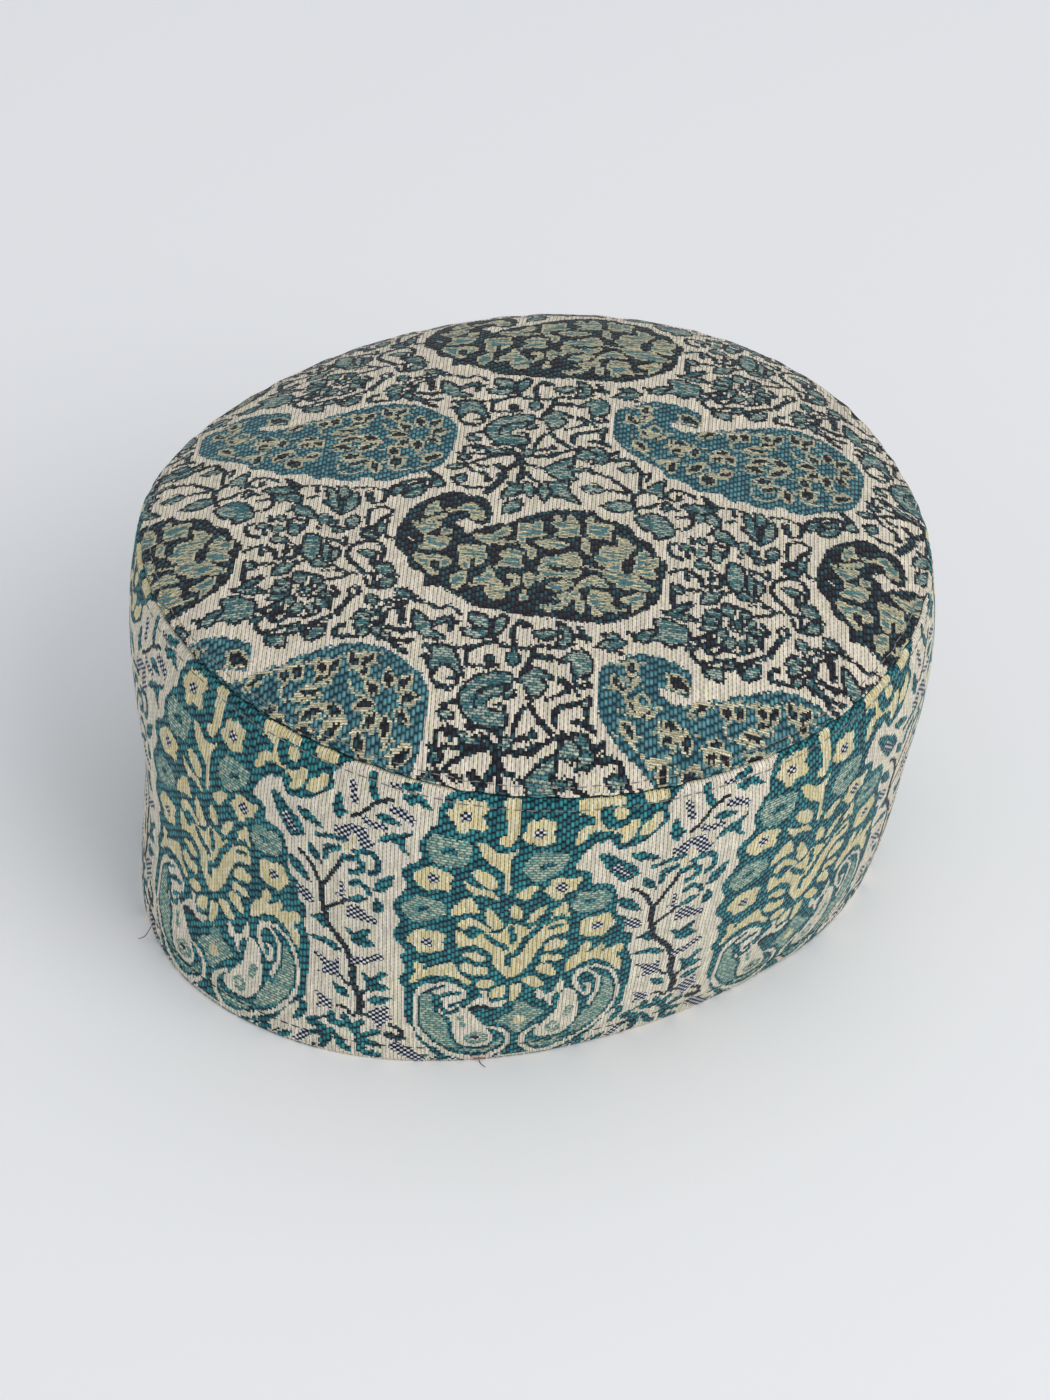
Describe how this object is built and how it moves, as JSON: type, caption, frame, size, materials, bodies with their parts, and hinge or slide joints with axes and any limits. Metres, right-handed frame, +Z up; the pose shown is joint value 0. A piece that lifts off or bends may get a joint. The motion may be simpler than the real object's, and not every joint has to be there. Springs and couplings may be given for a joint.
{
  "type": "kashmiri kani cap",
  "caption": "Pillbox cap of patterned shawl cloth: a straight side band round the head with a low domed oval crown panel sewn to its top edge.",
  "frame": {"origin": "on the surface that the hem stands on, under the middle of the cap's box", "axes": "+Z up from the hem to the crown, -Y the front of the cap, +X the wearer's left"},
  "size_m": [0.1968, 0.2104, 0.1058],
  "materials": {
    "band_cloth": "jacquard shawl cloth, teal columns with yellow flowers on cream",
    "crown_cloth": "jacquard shawl cloth, teal and dark paisleys among black vines on cream"
  },
  "bodies": {
    "root": {"side_band": "band_cloth", "crown_panel": "crown_cloth"}
  },
  "joints": []
}
